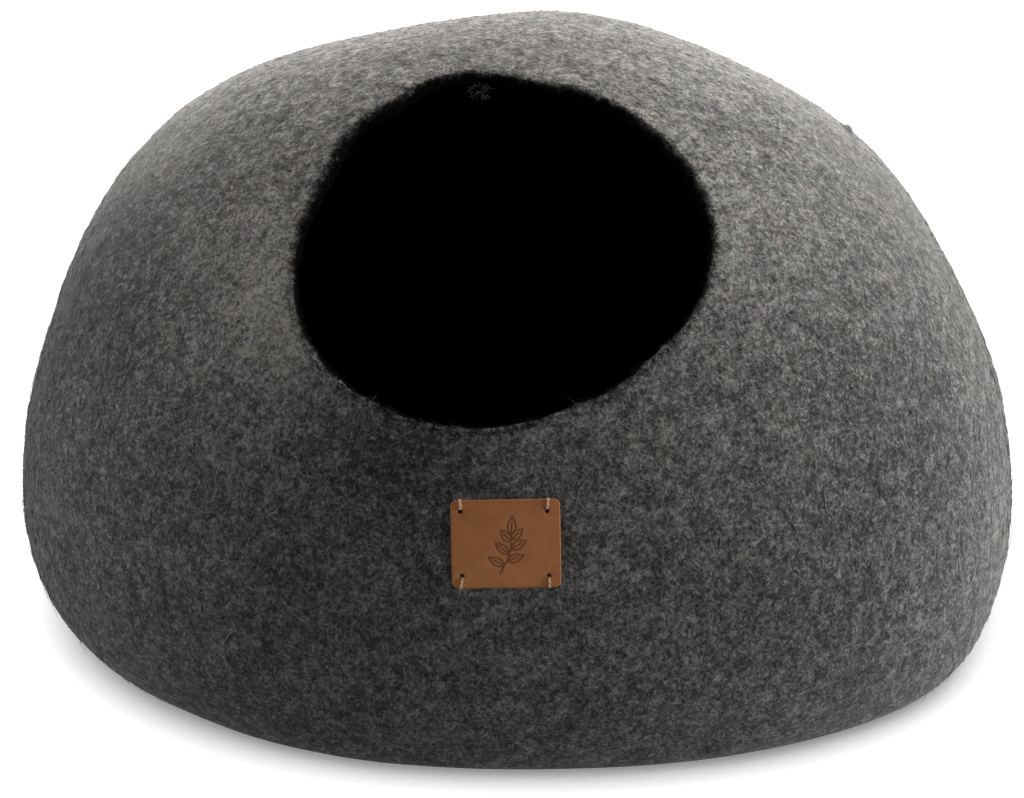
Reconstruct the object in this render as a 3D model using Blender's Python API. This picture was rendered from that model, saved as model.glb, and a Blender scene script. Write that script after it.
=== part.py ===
"""Felt cat cave: a seamless hollow pod of wool felt with a round opening and a stitched leather label.

Metres, +Z up. The pod stands on z = 0 and its opening faces -Y, tipped up.
"""
import math
from collections import namedtuple

import bmesh
import bpy
from mathutils import Matrix, Vector

# Pod: half sizes are measured from its centre, which lies at the height of its widest girth.
HEIGHT = 0.285
HALF_WIDTH = 0.250
HALF_DEPTH_FRONT = 0.234
HALF_DEPTH_BACK = 0.250
GIRTH_HEIGHT = 0.062
UNDERSIDE_DEPTH = 0.140     # how deep the lower half would reach if the floor didn't flatten it
PLAN_FULLNESS = 2.3         # exponents of the outline: 2 is an ellipse, more is fuller
UPPER_FULLNESS = 2.03
LOWER_FULLNESS = 2.2
LEAN = 0.045                # drift of the crown towards -X, per metre of height
BASE_SOFTNESS = 0.012       # height over which the side turns into the flat base
WALL = 0.007                # thickness of the felt
LIP_ROUNDING = 0.003        # radius on both edges of the opening's lip

# Soft swells and hollows that hand felting leaves, each a direction from the centre and a height.
# turn: degrees round from the front towards +X; rise: degrees above the horizontal.
Swell = namedtuple("Swell", "turn rise height")
SWELL_SPREAD = 12           # degrees from a swell's middle to its flank
SWELLS = (
    Swell(98, 26, -0.0060),
    Swell(107, 38, 0.0047),
    Swell(120, 50, -0.0056),
    Swell(160, 66, 0.0017),
    Swell(-150, 64, -0.0062),
    Swell(-128, 56, -0.0024),
    Swell(-113, 46, 0.0028),
    Swell(-87, 14, -0.0046),
    Swell(-80, 3, 0.0016),
    Swell(-68, -8, 0.0025),
    Swell(-45, -13, -0.0031),
    Swell(56, -12, 0.0069),
    Swell(70, -8, -0.0041),
    Swell(86, 8, -0.0012),
)

# Opening: a nearly round hole, its edge at an angle from an axis through the pod's centre.
OPENING_TURN = -1           # degrees, as for the swells
OPENING_RISE = 52
OPENING_HALF_ANGLE = 23.8
# Waves that make the hand-cut edge uneven: how many go round, their size in degrees, and where
# one of them peaks, in degrees round the axis from +X towards the top.
EdgeWave = namedtuple("EdgeWave", "count size peak")
EDGE_WAVES = (
    EdgeWave(2, 1.0, 65),
    EdgeWave(3, 0.9, -13),
)

# Mesh of the pod: rings tip from the opening's edge to level ones at the base's bend, where they
# crowd together, and then shrink to a point under the base.
POD_SEGMENTS = 72
SIDE_RINGS = 24
BASE_RINGS = 4
BEND_HALF_ANGLE = 110       # degrees from straight up to the ring just inside the base's bend
RING_CROWDING = 1.3

# Label: a leather rectangle that follows the felt below the opening.
LABEL_TURN = -1.0
LABEL_RISE = 15.0
LABEL_ROLL = 1.2            # degrees, right-hand side up
LABEL_WIDTH = 0.0477
LABEL_HEIGHT = 0.0391
LABEL_THICKNESS = 0.0016
LABEL_CORNER = 0.003
LABEL_EDGE_ROUNDING = 0.0003
LABEL_RINGS = 5
LABEL_SIDE_STEPS = 6
LABEL_CORNER_STEPS = 5
HOLE_RADIUS = 0.0009
GAP = 0.0003                # between pieces that touch

# Stitches: thread from a hole near each corner over the label's edge into the felt.
THREAD_RADIUS = 0.0005
THREAD_BEND = 0.001         # radius of the thread's middle line where it turns
BEND_STEPS = 6
# across, up: the hole, from the label's middle; drift: how far the thread slants on its way out.
Stitch = namedtuple("Stitch", "name across up drift")
STITCHES = (
    Stitch("stitch_top_left", -0.0196, 0.0146, 0.0),
    Stitch("stitch_top_right", 0.0181, 0.0143, 0.0005),
    Stitch("stitch_bottom_left", -0.0193, -0.0138, -0.0008),
    Stitch("stitch_bottom_right", 0.0185, -0.0142, 0.0),
)

# The pod's box is a little lopsided round its own centre; this puts the box's middle over the origin.
POD_PLACE = Vector((0.0005, -0.0080, 0.0))
POD_CENTRE = Vector((0.0, 0.0, GIRTH_HEIGHT))


def clear_scene():
    for item in list(bpy.data.objects):
        bpy.data.objects.remove(item, do_unlink=True)


def principled(name, colour, roughness):
    material = bpy.data.materials.new(name)
    material.use_nodes = True
    shader = material.node_tree.nodes["Principled BSDF"]
    shader.inputs["Base Color"].default_value = (*colour, 1.0)
    shader.inputs["Roughness"].default_value = roughness
    shader.inputs["Metallic"].default_value = 0.0
    return material


def add_object(name, data, material, parent=None):
    data.materials.append(material)
    item = bpy.data.objects.new(name, data)
    item.parent = parent
    bpy.context.collection.objects.link(item)
    return item


def direction(turn, rise):
    """Unit vector, turn degrees from the front towards +X and rise degrees above the horizontal."""
    turn = math.radians(turn)
    rise = math.radians(rise)
    return Vector((math.sin(turn) * math.cos(rise), -math.cos(turn) * math.cos(rise), math.sin(rise)))


def mix_power(first, second, power):
    return (abs(first) ** power + abs(second) ** power) ** (1 / power)


def pod_point(towards):
    """Point of the pod's outer surface that lies towards a unit vector from its centre."""
    depth = HALF_DEPTH_FRONT if towards.y < 0 else HALF_DEPTH_BACK
    plan = mix_power(towards.x / HALF_WIDTH, towards.y / depth, PLAN_FULLNESS)
    if towards.z > 0:
        radius = 1 / mix_power(plan, towards.z / (HEIGHT - GIRTH_HEIGHT), UPPER_FULLNESS)
    else:
        radius = 1 / mix_power(plan, towards.z / UNDERSIDE_DEPTH, LOWER_FULLNESS)
    for swell in SWELLS:
        away = math.degrees(towards.angle(direction(swell.turn, swell.rise)))
        radius += swell.height * math.exp(-0.5 * (away / SWELL_SPREAD) ** 2)
    point = towards * radius
    point.x -= LEAN * point.z
    height = point.z + GIRTH_HEIGHT
    if height < -BASE_SOFTNESS:
        height = 0.0
    elif height < BASE_SOFTNESS:
        height = (height + BASE_SOFTNESS) ** 2 / (4 * BASE_SOFTNESS)
    return Vector((point.x, point.y, height))


def opening_edge(turn):
    """Angle between the opening's axis and its edge, at a turn round the axis from +X to the top."""
    angle = OPENING_HALF_ANGLE
    for wave in EDGE_WAVES:
        angle += wave.size * math.cos(wave.count * (turn - math.radians(wave.peak)))
    return math.radians(angle)


def side_ring_direction(share, turn):
    """Direction of a point on a ring between the opening (share 0) and the base's bend (share 1)."""
    azimuth = OPENING_TURN * (1 - share)
    axis = direction(azimuth, OPENING_RISE + (90 - OPENING_RISE) * share)
    side = direction(azimuth + 90, 0)
    outward = side * math.cos(turn) + axis.cross(side) * math.sin(turn)
    edge = opening_edge(turn)
    angle = edge + (math.radians(BEND_HALF_ANGLE) - edge) * share
    return axis * math.cos(angle) + outward * math.sin(angle)


def pod_rings():
    """Rings of directions, from the opening's edge over the whole pod to just short of its foot."""
    turns = [math.tau * segment / POD_SEGMENTS for segment in range(POD_SEGMENTS)]
    rings = []
    for ring in range(SIDE_RINGS + 1):
        share = 1 - (1 - ring / SIDE_RINGS) ** RING_CROWDING
        rings.append([side_ring_direction(share, turn) for turn in turns])
    for ring in range(1, BASE_RINGS):
        angle = BEND_HALF_ANGLE + (180 - BEND_HALF_ANGLE) * ring / BASE_RINGS
        rings.append([direction(math.degrees(turn) + 90, 90 - angle) for turn in turns])
    return rings


def make_pod(material):
    """The seamless felt shell: its outer sheet, thickened inwards and rounded at the lip."""
    shell = bmesh.new()
    rings = [[shell.verts.new(pod_point(towards)) for towards in ring] for ring in pod_rings()]
    foot = shell.verts.new(pod_point(Vector((0, 0, -1))))
    for upper, lower in zip(rings, rings[1:]):
        for segment in range(POD_SEGMENTS):
            after = (segment + 1) % POD_SEGMENTS
            shell.faces.new((upper[segment], lower[segment], lower[after], upper[after]))
    for segment in range(POD_SEGMENTS):
        shell.faces.new((rings[-1][segment], foot, rings[-1][(segment + 1) % POD_SEGMENTS]))
    mesh = bpy.data.meshes.new("felt_cave")
    shell.to_mesh(mesh)
    shell.free()
    mesh.shade_smooth()

    pod = add_object("felt_cave", mesh, material)
    pod.location = POD_PLACE
    thicken = pod.modifiers.new("felt thickness", "SOLIDIFY")
    thicken.thickness = WALL
    thicken.offset = -1
    thicken.use_even_offset = True
    thicken.use_quality_normals = True
    lip = pod.modifiers.new("rounded lip", "BEVEL")
    lip.width = LIP_ROUNDING
    lip.segments = 3
    lip.limit_method = "ANGLE"
    lip.angle_limit = math.radians(60)
    return pod


def label_frame():
    """Label's own axes on the felt: x along its width, y up its height, z out of the felt."""
    middle = direction(LABEL_TURN, LABEL_RISE)
    step = 1.0
    origin = pod_point(middle)
    across = pod_point(direction(LABEL_TURN + step, LABEL_RISE)) - origin
    along = pod_point(direction(LABEL_TURN, LABEL_RISE + step)) - origin
    out = across.cross(along).normalized()
    right = (across - out * across.dot(out)).normalized()
    right.rotate(Matrix.Rotation(math.radians(LABEL_ROLL), 3, out))
    frame = Matrix((right, out.cross(right), out)).transposed().to_4x4()
    frame.translation = origin
    return frame


def felt_height(frame, x, y):
    """How high the felt lies, on the label's z axis, under the point x, y of the label."""
    towards = (frame @ Vector((x, y, 0)) - POD_CENTRE).normalized()
    return (frame.inverted() @ pod_point(towards)).z


def label_outline():
    """Rounded rectangle, anticlockwise, as points in the label's x, y."""
    reach_x = LABEL_WIDTH / 2 - LABEL_CORNER
    reach_y = LABEL_HEIGHT / 2 - LABEL_CORNER
    corners = ((reach_x, reach_y), (-reach_x, reach_y), (-reach_x, -reach_y), (reach_x, -reach_y))
    points = []
    for number, (x, y) in enumerate(corners):
        for step in range(LABEL_CORNER_STEPS + 1):
            angle = math.pi / 2 * (number + step / LABEL_CORNER_STEPS)
            points.append(Vector((x + LABEL_CORNER * math.cos(angle), y + LABEL_CORNER * math.sin(angle))))
        next_x, next_y = corners[(number + 1) % 4]
        angle = math.pi / 2 * (number + 1)
        start = points[-1]
        end = Vector((next_x + LABEL_CORNER * math.cos(angle), next_y + LABEL_CORNER * math.sin(angle)))
        points += [start.lerp(end, step / LABEL_SIDE_STEPS) for step in range(1, LABEL_SIDE_STEPS)]
    return points


def make_hole_cutter(frame, pod):
    """Four short posts, one at each stitch hole, that pierce the label."""
    posts = bmesh.new()
    for stitch in STITCHES:
        height = felt_height(frame, stitch.across, stitch.up) + GAP + LABEL_THICKNESS / 2
        place = Matrix.Translation((stitch.across, stitch.up, height))
        bmesh.ops.create_cone(posts, cap_ends=True, segments=16, radius1=HOLE_RADIUS,
                              radius2=HOLE_RADIUS, depth=3 * LABEL_THICKNESS, matrix=place)
    mesh = bpy.data.meshes.new("label_holes")
    posts.to_mesh(mesh)
    posts.free()
    cutter = bpy.data.objects.new("label_holes", mesh)
    cutter.parent = pod
    cutter.matrix_local = frame
    cutter.hide_render = True
    cutter.display_type = "WIRE"
    bpy.context.collection.objects.link(cutter)
    return cutter


def make_label(frame, pod, material):
    """Leather label: rings of its outline, laid on the felt, thickened outwards and pierced."""
    sheet = bmesh.new()
    outline = label_outline()
    rings = []
    for ring in range(LABEL_RINGS):
        scale = 1 - ring / LABEL_RINGS
        spots = [point * scale for point in outline]
        rings.append([sheet.verts.new((x, y, felt_height(frame, x, y) + GAP)) for x, y in spots])
    middle = sheet.verts.new((0, 0, felt_height(frame, 0, 0) + GAP))
    count = len(outline)
    for outer, inner in zip(rings, rings[1:]):
        for index in range(count):
            after = (index + 1) % count
            sheet.faces.new((outer[index], outer[after], inner[after], inner[index]))
    for index in range(count):
        sheet.faces.new((rings[-1][index], rings[-1][(index + 1) % count], middle))
    mesh = bpy.data.meshes.new("leather_label")
    sheet.to_mesh(mesh)
    sheet.free()
    mesh.shade_smooth()
    mesh.set_sharp_from_angle(angle=math.radians(40))

    label = add_object("leather_label", mesh, material, pod)
    label.matrix_local = frame
    thicken = label.modifiers.new("leather thickness", "SOLIDIFY")
    thicken.thickness = LABEL_THICKNESS
    thicken.offset = 1
    thicken.use_even_offset = True
    edges = label.modifiers.new("rubbed edges", "BEVEL")
    edges.width = LABEL_EDGE_ROUNDING
    edges.segments = 2
    edges.limit_method = "ANGLE"
    edges.angle_limit = math.radians(60)
    holes = label.modifiers.new("stitch holes", "BOOLEAN")
    holes.operation = "DIFFERENCE"
    holes.solver = "EXACT"
    holes.object = make_hole_cutter(frame, pod)
    return label


def stitch_route(frame, stitch):
    """Middle line of a stitch: up out of its hole, over the label's edge and down to the felt."""
    out = math.copysign(1, stitch.up)
    clear = GAP + THREAD_RADIUS
    length = LABEL_HEIGHT / 2 + clear - abs(stitch.up)
    top = GAP + LABEL_THICKNESS + clear
    profile = [(0.0, GAP + THREAD_RADIUS)]
    for step in range(BEND_STEPS + 1):
        angle = math.pi / 2 * step / BEND_STEPS
        profile.append((THREAD_BEND * (1 - math.cos(angle)), top - THREAD_BEND * (1 - math.sin(angle))))
    for step in range(BEND_STEPS + 1):
        angle = math.pi / 2 * step / BEND_STEPS
        profile.append((length - THREAD_BEND * (1 - math.sin(angle)),
                        top - THREAD_BEND * (1 - math.cos(angle))))
    profile.append((length, GAP + THREAD_RADIUS))
    route = []
    for distance, lift in profile:
        x = stitch.across + stitch.drift * distance / length
        y = stitch.up + out * distance
        route.append(Vector((x, y, felt_height(frame, x, y) + lift)))
    return route


def make_stitch(frame, pod, stitch, material):
    curve = bpy.data.curves.new(stitch.name, "CURVE")
    curve.dimensions = "3D"
    curve.bevel_depth = THREAD_RADIUS
    curve.bevel_resolution = 2
    curve.use_fill_caps = True
    route = stitch_route(frame, stitch)
    spline = curve.splines.new("POLY")
    spline.points.add(len(route) - 1)
    for point, place in zip(spline.points, route):
        point.co = (*place, 1.0)
    thread = add_object(stitch.name, curve, material, pod)
    thread.matrix_local = frame
    return thread


clear_scene()
felt = principled("grey wool felt", (0.105, 0.103, 0.108), 0.95)
leather = principled("tan leather", (0.31, 0.115, 0.045), 0.5)
linen = principled("linen thread", (0.56, 0.38, 0.22), 0.8)
cave = make_pod(felt)
seat = label_frame()
make_label(seat, cave, leather)
for row in STITCHES:
    make_stitch(seat, cave, row, linen)
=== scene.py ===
"""Looks of the felt cat cave: a hollow pod of heathered wool felt with a stitched leather label.

Metres, +Z up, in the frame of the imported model.
"""
import math
from collections import namedtuple

import bmesh
import bpy
import numpy as np
from mathutils import Euler, Matrix, Vector, noise


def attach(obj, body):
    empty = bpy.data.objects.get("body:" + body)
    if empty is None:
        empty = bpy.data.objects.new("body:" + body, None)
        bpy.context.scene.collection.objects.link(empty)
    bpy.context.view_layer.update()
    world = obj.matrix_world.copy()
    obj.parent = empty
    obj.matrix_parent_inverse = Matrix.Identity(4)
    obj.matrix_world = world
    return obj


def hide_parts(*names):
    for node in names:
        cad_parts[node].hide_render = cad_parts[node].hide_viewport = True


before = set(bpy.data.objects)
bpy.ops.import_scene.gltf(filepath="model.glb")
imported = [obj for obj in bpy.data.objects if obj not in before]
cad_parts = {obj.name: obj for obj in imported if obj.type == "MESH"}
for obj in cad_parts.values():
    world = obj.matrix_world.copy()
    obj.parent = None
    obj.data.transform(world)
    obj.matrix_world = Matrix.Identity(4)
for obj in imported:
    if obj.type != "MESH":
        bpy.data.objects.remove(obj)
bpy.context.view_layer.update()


# ---- Felt pod ------------------------------------------------------------------------------------
# One seamless shell of wool, wetted, soaped and rubbed round a flat resist until it felted, and the
# way in cut out by hand. Heathered grey wool lies outside; the inside is coloured near-black as
# painted shade, and the two meet on the rounded lip.
FELT_NODE = "felt_cave"
POD_MIDDLE = (0.0005, -0.0080, 0.062)   # where inside and outside are told apart from
FELT_REFINING = 2                       # times that each face of the solid is cut in four
LUMP_HEIGHT, LUMP_SIZE = 0.0011, 0.034
RIPPLE_HEIGHT, RIPPLE_SIZE = 0.0005, 0.011
FLAT_BASE = 0.012                       # below this height the lumps fade to a flat base
LEAST_LIP_FACING = -0.75
LIP_FACING = 0.15                       # what faces the middle more is the inside, coloured near-black as painted shade
LIP_HEIGHT, LIP_SIZE = 0.0016, 0.0075   # unevenness of the cut edge
LIP_REACH = 0.007                       # how far out from the inside it goes
PAINTED_SHADE_BELOW, PAINTED_SHADE_ABOVE = 0.0035, 0.0090 # how far the near-black painted shade reaches out below and above the way in
MOUTH_LOW, MOUTH_HIGH = 0.20, 0.26      # heights between which the one goes over into the other
MOUTH_TURN, MOUTH_RISE, MOUTH_ANGLE = -1, 52, 23.8   # the way in as seen from the middle, degrees
CUT_SPREAD = 6                          # degrees over which a stray of the knife dies away
# Where the knife strayed from that round: degrees round the way in from +X to the top, degrees that
# the stray takes, and metres outwards. A scratch program fitted these rows to the photo's edge.
Stray = namedtuple("Stray", "turn width outward")
STRAYS = (
    Stray(-144, 18, 0.0020), Stray(-123, 6, -0.0027), Stray(-92, 17, 0.0015), Stray(-60, 6, 0.0016),
    Stray(-46, 8, -0.0017), Stray(-12, 11, -0.0008), Stray(41, 8, -0.0015), Stray(82, 9, -0.0054),
    Stray(107, 7, 0.0025), Stray(129, 5, -0.0046), Stray(161, 13, -0.0046),
)
# Painted light and shade: places where the wool's colour is made paler or darker to stand in for
# light and shade that the lamps don't give: degrees as seen from the middle, and doublings of its
# shade. A scratch program fitted these rows to the photo's brightness.
Patch = namedtuple("Patch", "turn rise spread doublings")
PAINTED_LIGHT_PATCHES = (
    Patch(-33, 39, 7, 1.5), Patch(-12, 23, 7, -1.0), Patch(20, 53, 9, 1.1),
    Patch(-72, 28, 13, -0.7), Patch(48, 23, 9, -0.5), Patch(84, 38, 13, -0.4),
    Patch(28, 8, 5, -0.5), Patch(-40, -10, 7, -0.5), Patch(64, -7, 9, 1.0),
)


def live(sockets, name):
    """The socket of that name, or of that number, among those in use."""
    used = [socket for socket in sockets if socket.enabled]
    return used[name] if isinstance(name, int) else next(s for s in used if s.name == name)


class Strand:
    """One socket of a node tree. An expression on strands and numbers adds its Math nodes."""

    def __init__(self, work, socket):
        self.work = work
        self.socket = socket

    def other(self, name):
        return Strand(self.work, live(self.socket.node.outputs, name))

    def sum(self, operation, *terms, clamp=False):
        settings = {"operation": operation, "use_clamp": clamp}
        return self.work.node("ShaderNodeMath", settings, dict(enumerate(terms)))

    def __add__(self, other):
        return self.sum("ADD", self, other)

    def __radd__(self, other):
        return self.sum("ADD", other, self)

    def __sub__(self, other):
        return self.sum("SUBTRACT", self, other)

    def __rsub__(self, other):
        return self.sum("SUBTRACT", other, self)

    def __mul__(self, other):
        return self.sum("MULTIPLY", self, other)

    def __rmul__(self, other):
        return self.sum("MULTIPLY", other, self)

    def __truediv__(self, other):
        return self.sum("DIVIDE", self, other)

    def __rtruediv__(self, other):
        return self.sum("DIVIDE", other, self)

    def __abs__(self):
        return self.sum("ABSOLUTE", self)

    def __gt__(self, other):
        return self.sum("GREATER_THAN", self, other)

    def clamped(self):
        return self.sum("ADD", self, 0.0, clamp=True)

    def rising(self, low, high):
        """From 0 at low to 1 at high, eased at both ends."""
        span = {"Value": self, "From Min": low, "From Max": high}
        return self.work.node("ShaderNodeMapRange", {"interpolation_type": "SMOOTHSTEP"}, span)


class Work:
    """A node tree written as Python."""

    def __init__(self, tree):
        self.tree = tree

    def node(self, kind, settings=(), sockets=(), output=0):
        """Adds a node: its settings first, then the values or links of its sockets."""
        added = self.tree.nodes.new(kind)
        for name, value in dict(settings).items():
            if name == "stops":
                self.stops(added.color_ramp, value)
            else:
                setattr(added, name, value)
        for name, value in dict(sockets).items():
            socket = live(added.inputs, name)
            if isinstance(value, Strand):
                self.tree.links.new(value.socket, socket)
            else:
                socket.default_value = value
        return Strand(self, live(added.outputs, output)) if added.outputs else added

    def stops(self, ramp, stops):
        ramp.elements[0].position, ramp.elements[-1].position = stops[0][0], stops[-1][0]
        for place, colour in stops[1:-1]:
            ramp.elements.new(place)
        for element, (place, colour) in zip(ramp.elements, stops):
            element.color = (*colour, 1.0)

    def noise(self, place, scale, detail=2.0, distortion=0.0, output=0, roughness=0.5, seed=None):
        sockets = {"Vector": place, "Scale": scale, "Detail": detail, "Distortion": distortion,
                   "Roughness": roughness}
        if seed is not None:
            sockets["W"] = seed
        return self.node("ShaderNodeTexNoise", {"noise_dimensions": "3D" if seed is None else "4D"},
                         sockets, output)

    def mix(self, share, first, second, how="MIX"):
        settings = {"data_type": "RGBA", "blend_type": how}
        return self.node("ShaderNodeMix", settings, {"Factor": share, "A": first, "B": second})

    def vector(self, operation, *terms, scale=None):
        sockets = dict(enumerate(terms))
        if scale is not None:
            sockets["Scale"] = scale
        return self.node("ShaderNodeVectorMath", {"operation": operation}, sockets)


class Finish(Work):
    """A material: constants go on its shader, and strands feed what changes over the surface."""

    def __init__(self, name, **constants):
        self.material = bpy.data.materials.new(name)
        self.material.use_nodes = True
        super().__init__(self.material.node_tree)
        self.shader = self.tree.nodes["Principled BSDF"]
        for socket, value in constants.items():
            self.shader.inputs[socket.replace("_", " ")].default_value = value

    def feed(self, **strands):
        for socket, strand in strands.items():
            self.tree.links.new(strand.socket, self.shader.inputs[socket.replace("_", " ")])

    def blend(self, share, other):
        """Shows this material where share is 1 and another shader where it is 0."""
        both = self.node("ShaderNodeMixShader", (), {0: share, 1: other})
        self.tree.links.new(self.shader.outputs[0], both.socket.node.inputs[2])
        end = next(node for node in self.tree.nodes if node.type == "OUTPUT_MATERIAL")
        self.tree.links.new(both.socket, end.inputs["Surface"])

    def place(self):
        return self.node("ShaderNodeTexCoord", output="Object")

    def marked(self, name):
        """What a mesh is marked with, point by point."""
        return self.node("ShaderNodeAttribute", {"attribute_name": name}, output="Fac")


class Shaping(Work):
    """A Geometry Nodes tree with named inputs, run on one piece and kept as its plain mesh."""

    def __init__(self, name, **inputs):
        super().__init__(bpy.data.node_groups.new(name, "GeometryNodeTree"))
        face = self.tree.interface
        face.new_socket("Geometry", in_out="OUTPUT", socket_type="NodeSocketGeometry")
        face.new_socket("Geometry", in_out="INPUT", socket_type="NodeSocketGeometry")
        self.values = inputs
        for name, value in inputs.items():
            title = name.replace("_", " ")
            kind = {float: "Float", int: "Int", tuple: "Vector"}.get(type(value), "Material")
            face.new_socket(title, in_out="INPUT", socket_type="NodeSocket" + kind)
        self.entry = self.tree.nodes.new("NodeGroupInput")

    def given(self, name="Geometry"):
        return Strand(self, self.entry.outputs[name.replace("_", " ")])

    def chance(self, low, high, seed):
        """A number that differs from point to point, the same on each run."""
        span = {"Min": low, "Max": high, "Seed": seed}
        return self.node("FunctionNodeRandomValue", {"data_type": "FLOAT"}, span)

    def store(self, name, value, shape):
        settings = {"data_type": "FLOAT", "domain": "POINT"}
        return self.node("GeometryNodeStoreNamedAttribute", settings, {
            "Geometry": shape, "Name": name, "Value": value})

    def finish(self, shape):
        """Ends the tree: whole, smooth and with its material."""
        shape = self.node("GeometryNodeRealizeInstances", (), {"Geometry": shape})
        shape = self.node("GeometryNodeSetShadeSmooth", (), {
            "Geometry": shape, "Shade Smooth": True})
        shape = self.node("GeometryNodeSetMaterial", (), {
            "Geometry": shape, "Material": self.given("Material")})
        end = self.tree.nodes.new("NodeGroupOutput")
        self.tree.links.new(shape.socket, end.inputs["Geometry"])

    def run(self, piece, **changed):
        modifier = piece.modifiers.new(self.tree.name, "NODES")
        modifier.node_group = self.tree
        values = {**self.values, **changed}
        for item in self.tree.interface.items_tree:
            name = item.name.replace(" ", "_")
            if item.in_out == "INPUT" and name in values:
                modifier[item.identifier] = values[name]
        keep_shape(piece)


def keep_shape(piece):
    """Turns what a piece's modifiers make into its own plain mesh."""
    graph = bpy.context.evaluated_depsgraph_get()
    made = bpy.data.meshes.new_from_object(piece.evaluated_get(graph), depsgraph=graph,
                                           preserve_all_data_layers=True)
    made.name = piece.name
    piece.modifiers.clear()
    piece.data = made


def new_piece(name, mesh):
    piece = bpy.data.objects.new(name, mesh)
    bpy.context.collection.objects.link(piece)
    return piece


def merged_copy(node, name):
    """A CAD node's shape as a piece, its triangles merged and paired into four-sided faces."""
    shape = bmesh.new()
    shape.from_mesh(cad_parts[node].data)
    bmesh.ops.remove_doubles(shape, verts=shape.verts, dist=1e-5)
    slack = math.radians(60)
    bmesh.ops.join_triangles(shape, faces=shape.faces, angle_face_threshold=slack,
                             angle_shape_threshold=slack)
    mesh = bpy.data.meshes.new(name)
    shape.to_mesh(mesh)
    shape.free()
    return new_piece(name, mesh)


def mark(mesh, name, values):
    mesh.attributes.new(name, "FLOAT", "POINT").data.foreach_set("value", values.astype(np.float32))


def direction(turn, rise):
    """Unit vector, turn degrees from the front towards +X and rise degrees above the horizontal."""
    turn, rise = math.radians(turn), math.radians(rise)
    return np.array((math.sin(turn) * math.cos(rise), -math.cos(turn) * math.cos(rise),
                     math.sin(rise)))


def points_of(mesh):
    points = np.empty(len(mesh.vertices) * 3)
    mesh.vertices.foreach_get("co", points)
    return points.reshape(-1, 3)


def seen_from_middle(mesh):
    """Each point of a mesh as a unit vector from the pod's middle, and all its points."""
    points = points_of(mesh)
    ways = points - POD_MIDDLE
    return ways / np.linalg.norm(ways, axis=1)[:, None], points


def cut_freely(mesh):
    """Moves the lip along the felt to where the knife really went."""
    ways, points = seen_from_middle(mesh)
    axis = direction(MOUTH_TURN, MOUTH_RISE)
    side = direction(MOUTH_TURN + 90, 0)
    turns = np.degrees(np.arctan2(ways @ np.cross(axis, side), ways @ side))
    away = np.degrees(np.arccos(np.clip(ways @ axis, -1, 1)))
    shift = np.zeros(len(turns))
    for stray in STRAYS:
        beside = (turns - stray.turn + 180) % 360 - 180
        shift += stray.outward * np.exp(-0.5 * (beside / stray.width) ** 2)
    shift *= np.exp(-((away - MOUTH_ANGLE) / CUT_SPREAD) ** 2)
    outward = ways * (ways @ axis)[:, None] - axis
    outward /= np.linalg.norm(outward, axis=1)[:, None]
    mesh.vertices.foreach_set("co", (points + outward * shift[:, None]).ravel())


def paint_light_and_shade_patches(mesh):
    """Marks painted light and shade: how much paler or darker the wool is made, in doublings of its
    shade.
    """
    ways, _ = seen_from_middle(mesh)
    carding = np.zeros(len(ways))
    for patch in PAINTED_LIGHT_PATCHES:
        away = np.degrees(np.arccos(np.clip(ways @ direction(patch.turn, patch.rise), -1, 1)))
        carding += patch.doublings * np.exp(-0.5 * (away / patch.spread) ** 2)
    mark(mesh, "carding", carding)


def lines_of_wool(work, place, size, turn, stretch, width, seed):
    """Thin curling lines, as fibres lie in felt: where a drawn-out noise crosses its middle."""
    turned = work.node("ShaderNodeMapping", {}, {
        "Vector": place, "Location": (seed, 2 * seed, -seed),
        "Rotation": turn, "Scale": (1 / size, 1 / size, stretch / size)})
    cloud = work.noise(turned, 1.0, detail=1.5, distortion=0.9)
    return (1 - abs(cloud - 0.5) / width).clamped()


# size of the curls, turn and seed of each layer of pale fibres
PALE_WOOL = (
    (0.0031, (0.3, 0.9, 0.2), 3.1),
    (0.0037, (1.3, 0.2, 1.0), 7.7),
    (0.0027, (2.1, 1.4, 0.4), 17.9),
    (0.0042, (0.6, 2.4, 1.7), 23.3),
)


SHADE_DOUBLING = 0.22                   # step along the felt's ramp of greys that doubles its shade
CLOUDS, MOTTLE, SPECKLE, DYE = 30, 160, 430, 95      # of its colour, each as waves in a metre


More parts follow.
